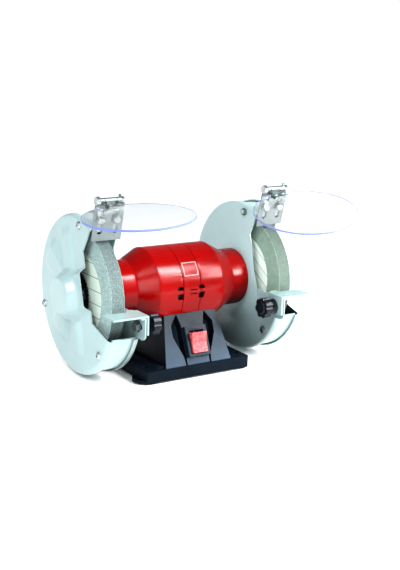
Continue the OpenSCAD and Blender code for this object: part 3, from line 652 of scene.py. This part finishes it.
# ---------------------------------------------------------------- motor housing
BARREL = BARREL_R * 1000
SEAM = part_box("motor_band")[1].x * 1000
BELL_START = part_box("motor_bell_right")[0].x * 1000
BELL_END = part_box("motor_bell_right")[1].x * 1000
BARREL_END = 42.5
NECK_START = 65.5
NECK = 34.5
WALL = 3.0
SKIRT_Y = 41.4
SKIRT_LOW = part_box("pedestal")[1].z * 1000 - AXIS.z * 1000
SKIRT_FLAT = 33.0
SKIRT_FADE = 42.0
VENT_ENDS = ((-20.5, -11.5), (17.5, 8.8))
VENT_ROWS = ((2.3, 6.8), (-1.8, -9.0))
SLOT_ROWS = ((1.4, 2.6), (-3.6, -2.4))
SLOT_ENDS = (-3.0, 6.5)


def housing_angles():
    corner = math.atan2(SKIRT_LOW, SKIRT_Y)
    under = -math.asin(-SKIRT_LOW / BARREL)
    touch = corner + math.acos(BARREL / math.hypot(SKIRT_Y, SKIRT_LOW))
    half = []
    for start, end, steps in ((-math.pi / 2, under, 18), (corner, touch, 7), (touch, math.pi / 2, 34)):
        for step in range(steps):
            half.append(start + (end - start) * step / steps)
        if end == under:
            half.append(under)
    back = [math.pi - angle for angle in reversed(half) if angle > -math.pi / 2 + 1e-6]
    return half + [math.pi / 2] + back


def skirt_reach(x, radius, angle):
    """The housing flares tangentially from the barrel to the pedestal's top edge, front and back."""
    if radius < BARREL - 1.5 or abs(x) > SKIRT_FADE:
        return 1.0
    corner = math.atan2(SKIRT_LOW, SKIRT_Y)
    touch = corner + math.acos(BARREL / math.hypot(SKIRT_Y, SKIRT_LOW))
    front = angle if angle <= math.pi / 2 else math.pi - angle
    if front < corner - 1e-6 or front > touch:
        return 1.0
    fade = 1.0 - ease((abs(x) - SKIRT_FLAT) / (SKIRT_FADE - SKIRT_FLAT))
    return 1.0 + fade * (1.0 / math.cos(front - touch) - 1.0)


def densify(path, step):
    dense = []
    for first, second in zip(path, path[1:]):
        parts = max(1, math.ceil((second - first).length / step))
        dense += [first.lerp(second, k / parts) for k in range(parts)]
    return dense + [path[-1]]


def vent_tool():
    """All the air vents as one set of separate prisms, through the front and turned to the back."""
    tools = []
    height = AXIS.z * 1000
    for sign in (1.0, -1.0):
        outlines = []
        for outer, inner in VENT_ENDS:
            slope = (inner - outer) / 4
            for near, far in VENT_ROWS:
                outlines.append([(outer, near), (inner, near), (inner, far), (outer + slope, far)])
        for low, high in SLOT_ROWS:
            first, last = SLOT_ENDS
            outlines.append([(first, low), (last, low), (last, high), (first, high)])
        for k, outline in enumerate(outlines):
            points = [(sign * x, z + height) for x, z in outline]
            tools.append(prism("vent", points, -sign * 25.0, -sign * 60.0, "Y"))
    return joined("vents", tools)


def make_housing():
    angles = housing_angles()
    vents = vent_tool()
    for side, sign in SIDES:
        outer = arc_corners(
            [(BELL_START, BARREL - 0.5), (BELL_START + 0.4, BARREL), (BARREL_END, BARREL),
             (NECK_START, NECK), (BELL_END, NECK), (BELL_END, NECK - 5.0)],
            [0.0, 0.3, 2.5, 5.0, 2.5, 0.0])
        inner = [(BELL_END, 9.0), (BELL_END - 3.0, 9.0), (BELL_END - 3.5, NECK - WALL),
                 (NECK_START + 1.0, NECK - WALL), (BARREL_END - 1.0, BARREL - WALL),
                 (BELL_START, BARREL - WALL)]
        path = [(p.x, p.y, 0) for p in densify(outer, 3.0)] + [(x, r, 0) for x, r in inner]
        bell = turned_skin("housing_" + side, path, angles, sign, None, skirt_reach)
        carve(bell, vents, keep=True)
        smooth(bell, 32.0)
        hand_over(bell, "red_paint", "frame", [RED], "motor_bell_" + side)
    edge = 0.4
    path = [(-SEAM, BARREL - 0.5), (edge - SEAM, BARREL), (0.0, BARREL), (SEAM - edge, BARREL),
            (SEAM, BARREL - 0.5), (SEAM, BARREL - WALL), (-SEAM, BARREL - WALL)]
    band = turned_skin("housing_band", [(x, r, 0) for x, r in path], angles, 1.0, None, skirt_reach)
    carve(band, vents)
    smooth(band, 32.0)
    hand_over(band, "red_paint", "frame", [RED], "motor_band")


# ---------------------------------------------------------------- guard pressings
GUARD_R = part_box("guard_plate_right")[1].y * 1000
SHEET = 1.6
FACE = 129.6
COVER_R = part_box("guard_cover_right")[1].y * 1000
COVER_DEEP = 7.0
COVER_ROUND = 5.5
DOME_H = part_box("guard_cover_right")[1].x * 1000 - FACE
DOME_IN = 21.5
DOME_OUT = 32.0
DOME_SOFT = 3.0
ARMS = ((22.0, 130.0, 8.0, 25.0, 18.0), (146.0, 78.0, 6.0, 22.0, 12.0), (-126.0, 66.0, 6.0, 22.0, 12.0),
        (106.0, 80.0, 4.0, 17.0, 7.0), (-80.0, 74.0, 4.0, 17.0, 7.0))
ARM_DRAFT = 12.0
PLATE_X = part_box("guard_wall_right")[0].x * 1000 - 0.7 - SHEET
PLATE_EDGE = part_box("guard_plate_right")[0].x * 1000
PLATE_DEEP = 6.2
BULGE_IN = 36.0
BULGE_OUT = 57.0
MOUTH_LOW = -22.0
COVER_MOUTH = (63.4, (-22.5, 53.8), (-44.8, -22.8))
PLATE_MOUTH = (64.7, (-27.0, 56.3), (-47.0, -4.0), (-47.4, -32.8))


def soft_floor(value, width):
    """The value where it is positive, else 0, with the corner rounded over the width."""
    if value <= -width:
        return 0.0
    return value if value >= width else (value + width) ** 2 / (4.0 * width)


def cover_lift(y, z):
    """Height of the pressed dome and its three arms above the cover's flat face."""
    slope = DOME_H * (DOME_OUT - math.hypot(y, z)) / (DOME_OUT - DOME_IN)
    total = DOME_H - soft_floor(DOME_H - soft_floor(slope, DOME_SOFT), DOME_SOFT)
    for angle, length, height, half, top in ARMS:
        a = math.radians(angle)
        out = -y * math.cos(a) + z * math.sin(a)
        across = abs(y * math.sin(a) + z * math.cos(a))
        flank = ease((half - across) / (half - top))
        arm = height * flank * ease((length - out) / ARM_DRAFT) * ease((out + 20.0) / 20.0)
        soft = max(4.0 - abs(total - arm), 0.0) ** 2 / 16.0 * min(1.0, min(total, arm) / 4.0)
        total = max(total, arm) + soft
    return total


def mouth_outline(angle, *corners):
    def rim(radius, degrees):
        a = math.radians(degrees)
        return (-radius * math.cos(a), radius * math.sin(a) + AXIS.z * 1000)
    back = [(y, z + AXIS.z * 1000) for y, z in corners]
    near = GUARD_R + 0.6
    far = GUARD_R + 60.0
    upper = [rim(far, angle), rim(near, angle)]
    lower = [rim(near, MOUTH_LOW), rim(far, MOUTH_LOW), rim(far, 15.0)]
    return upper + back + lower


def even_angles(count):
    return [2 * math.pi * k / count for k in range(count)]


def make_cover(side, sign):
    rings = [1.5 * k for k in range(28)] + [42.0 + 2.5 * k for k in range(17)]
    outer = [(FACE, r, 1) for r in rings] + [(FACE, COVER_R - COVER_ROUND, 1)]
    for k in range(1, 7):
        a = math.radians(15.0 * k)
        outer.append((FACE - COVER_ROUND * (1 - math.cos(a)), COVER_R - COVER_ROUND * (1 - math.sin(a)), 0))
    outer.append((FACE - COVER_DEEP, COVER_R, 0))
    inner = [(FACE - COVER_DEEP, COVER_R - SHEET, 0)]
    for k in range(6, 0, -1):
        a = math.radians(15.0 * k)
        round_in = COVER_ROUND - SHEET
        across = FACE - COVER_ROUND + round_in * math.cos(a)
        inner.append((across, COVER_R - COVER_ROUND + round_in * math.sin(a), 0))
    inner.append((FACE - SHEET, COVER_R - COVER_ROUND, 1))
    inner += [(FACE - SHEET, r, 1) for r in reversed(rings)]
    cover = turned_skin("cover_" + side, outer + inner, even_angles(144), sign, cover_lift, None, len(outer))
    reach = sign * (FACE + 40.0)
    carve(cover, prism("mouth", mouth_outline(*COVER_MOUTH), sign * 90.0, reach))
    smooth(cover, 40.0)
    hand_over(cover, "guard_paint", "frame", [ENAMEL, INNER_SHADE], "guard_cover_" + side)


def plate_bulge(radius):
    return (PLATE_X - PLATE_EDGE) * ease((BULGE_OUT - radius) / (BULGE_OUT - BULGE_IN))


def plate_ear(sign):
    """Ear that carries the tool rest, with the flange folded along its top edge."""
    ear_low, ear_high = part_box("rest_washers_right")[0].z * 1000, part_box("tool_rest_right")[1].z * 1000 - 2.4
    low = AXIS.z * 1000 - 33.5
    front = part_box("guard_plate_right")[0].y * 1000
    bolt = middle("rest_bolt_right").z * 1000
    corner = [(front + 7.0 - 7.0 * math.sin(math.radians(a)), low + 7.0 - 7.0 * math.cos(math.radians(a)))
              for a in range(90, -1, -15)]
    outline = [(-38.0, low + 8.0), (-46.0, ear_high), (front, ear_high)] + corner
    outline += [(-82.0, low), (-78.0, low - 4.0), (-60.0, low - 4.0)]
    ear = prism("ear", outline, sign * PLATE_X, sign * (PLATE_X + SHEET))
    ends = [(-75.4, -1.0), (-91.6, 1.0)]
    slot = []
    for centre, way in ends:
        for k in range(9):
            a = math.radians(-90.0 + 22.5 * k)
            slot.append((centre - way * 3.4 * math.cos(a), bolt - way * 3.4 * math.sin(a)))
    carve(ear, prism("slot", slot, sign * (PLATE_X - 3.0), sign * (PLATE_X + 6.0)))
    under = ear_high - SHEET
    fold = prism("fold", [(front, under), (-80.0, under), (-80.0, ear_high), (front, ear_high)],
                 sign * PLATE_X, sign * (PLATE_X + 6.0))
    carve(ear, fold, "UNION")
    return ear


def make_plate(side, sign):
    rings = [12.0 + 3.0 * k for k in range(25)]
    edge = PLATE_X + PLATE_DEEP
    outer = [(PLATE_X - plate_bulge(r), r, 0) for r in rings]
    outer += [(PLATE_X, GUARD_R - 2.2, 0), (PLATE_X + 0.3, GUARD_R - 1.1, 0),
              (PLATE_X + 1.0, GUARD_R - 0.3, 0)]
    outer += [(PLATE_X + 2.2, GUARD_R, 0), (edge, GUARD_R, 0)]
    inner = [(edge, GUARD_R - SHEET, 0), (PLATE_X + SHEET + 0.8, GUARD_R - SHEET, 0),
             (PLATE_X + SHEET, GUARD_R - SHEET - 0.8, 0)]
    inner += [(PLATE_X + SHEET - plate_bulge(r), r, 0) for r in reversed(rings)]
    plate = turned_skin("plate_" + side, outer + inner, even_angles(144), sign, None, None, len(outer))
    carve(plate, prism("mouth", mouth_outline(*PLATE_MOUTH), sign * 60.0, sign * 120.0))
    ear = plate_ear(sign)
    for mat in (ENAMEL, INNER_SHADE):
        ear.data.materials.append(mat)
        plate.data.materials.append(mat)
    carve(plate, ear, "UNION")
    plate.data.materials.clear()
    smooth(plate, 40.0)
    hand_over(plate, "guard_paint", "frame", [SHADED_PLATE_PAINT, INNER_SHADE], "guard_plate_" + side)


# ---------------------------------------------------------------- the scene
make_camera()
make_world()
make_lights()
make_floor()

ENAMEL = paint("guard_enamel", GUARD_DARK, GUARD_LIGHT, 0.30, 0.3, specular=0.5)
INNER_SHADE = inner_shade_paint()
SHADED_WALL_PAINT = enamel_with_inner_shade()
PLATED = steel("zinc_plate", (0.14, 0.165, 0.165), (0.22, 0.25, 0.25), 0.46)
BRIGHT = steel("bright_steel", (0.40, 0.44, 0.44), (0.58, 0.62, 0.62), 0.26)
PAPERS = {
    "left": label_paper("label_left", (0.40, 0.50, 0.44), (0.48, 0.58, 0.51), 0.0, 0.015),
    "right": label_paper("label_right", (0.58, 0.66, 0.60), (0.66, 0.74, 0.68), math.radians(32.0), 0.012),
}
REST = paint("rest_enamel", (0.20, 0.29, 0.29), (0.24, 0.34, 0.34), 0.30, 0.1)
RED = paint("red_enamel", RED_DARK, RED_LIGHT, 0.19, 0.0, 700.0, 0.00001, 0.14)
# Painted shade: the housing darkens below the shaft, to 72 % at the bottom and much deeper on the lower cones
# and necks beyond 40 mm out along the shaft.
shaded(RED, "Z", AXIS.z + 0.014, AXIS.z - 0.030, 0.06, (0.040, 0.070))
shaded(RED, "Z", AXIS.z + 0.010, AXIS.z - 0.050, 0.72)
# Painted shade of the motor on the inner plates: darker towards the bottom, down to 30 %.
SHADED_PLATE_PAINT = paint("plate_paint_with_shade", GUARD_DARK, GUARD_LIGHT, 0.30, 0.3, specular=0.5)
shaded(SHADED_PLATE_PAINT, "Z", AXIS.z + 0.010, AXIS.z - 0.085, 0.30)
BADGE = badge_enamel()
KNOB = moulded("knob_black", (0.004, 0.006, 0.010), (0.007, 0.010, 0.016), 0.30, 0.18)
BASE = moulded("base_black", (0.003, 0.006, 0.010), (0.005, 0.009, 0.015), 0.45, 0.05)
PEDESTAL = pedestal_slate()
SWITCH = moulded("switch_frame", (0.004, 0.010, 0.018), (0.007, 0.015, 0.025), 0.35, 0.12)
RUBBER = moulded("rubber", (0.006, 0.006, 0.007), (0.010, 0.010, 0.011), 0.8, 0.2)
CASE = moulded("capacitor_case", (0.62, 0.61, 0.57), (0.70, 0.69, 0.65), 0.4)
COARSE = grit("grit_coarse", (0.215, 0.30, 0.29), (0.34, 0.43, 0.42), (0.13, 0.19, 0.19), 1000.0)
FINE = grit("grit_fine", (0.20, 0.29, 0.24), (0.30, 0.39, 0.33), (0.13, 0.19, 0.15), 1500.0)
ROCKER = rocker_plastic()
LAMINATED = laminated("laminated_steel")
COPPER = copper_winding()

dress(BASE, "base")
dress(PEDESTAL, "pedestal")
dress(SWITCH, "switch_block", "switch_body")
dress(ROCKER, "rocker")
dress(RUBBER, "rubber_feet", "cord_gland")
dress(CASE, "capacitor")
dress(RED, "motor_bell_left", "motor_bell_right", "motor_band")
dress(BADGE, "motor_badge")
dress(LAMINATED, "stator_core", "rotor_core")
dress(COPPER, "stator_windings")
dress(BRIGHT, "shaft", "motor_bearings", "motor_mount_bolts", "spindle_nuts", "base_plate_screws")
dress(BRIGHT, "guard_screws", "bracket_screws")
dress(PLATED, "base_plate", "guard_nuts", "bracket_washers", "bracket_nuts")
for side, sign in SIDES:
    dress(COARSE if sign < 0 else FINE, "wheel_" + side)
    dress(PAPERS[side], "wheel_labels_" + side)
    dress(BRIGHT, "wheel_flanges_" + side, "hinge_bolt_" + side)
    dress(ENAMEL, "guard_plate_" + side, "guard_cover_" + side)
    dress(SHADED_WALL_PAINT, "guard_wall_" + side)
    dress(REST, "tool_rest_" + side)
    dress(PLATED, "rest_bolt_" + side, "rest_washers_" + side)
    dress(PLATED, "shield_bracket_" + side, "shield_clamp_" + side)
    dress(KNOB, "rest_knob_" + side)

SHIELD_TILT = {"left": 1.6, "right": 11.3}
SHIELD_LEAN = {"left": -3.9, "right": -9.1}
for side, sign in SIDES:
    tilt = Matrix.Rotation(math.radians(SHIELD_TILT[side]), 3, "X")
    lean = Matrix.Rotation(math.radians(SHIELD_LEAN[side]), 3, "Y")
    dress(clear_plastic("clear_" + side, tilt @ lean @ Vector((0.0, 0.0, 1.0))), "shield_disc_" + side)

for name in ("base", "pedestal", "switch_block", "tool_rest_left", "tool_rest_right"):
    soften(nodes[name], 0.0006)

make_housing()
for side, sign in SIDES:
    make_cover(side, sign)
    make_plate(side, sign)
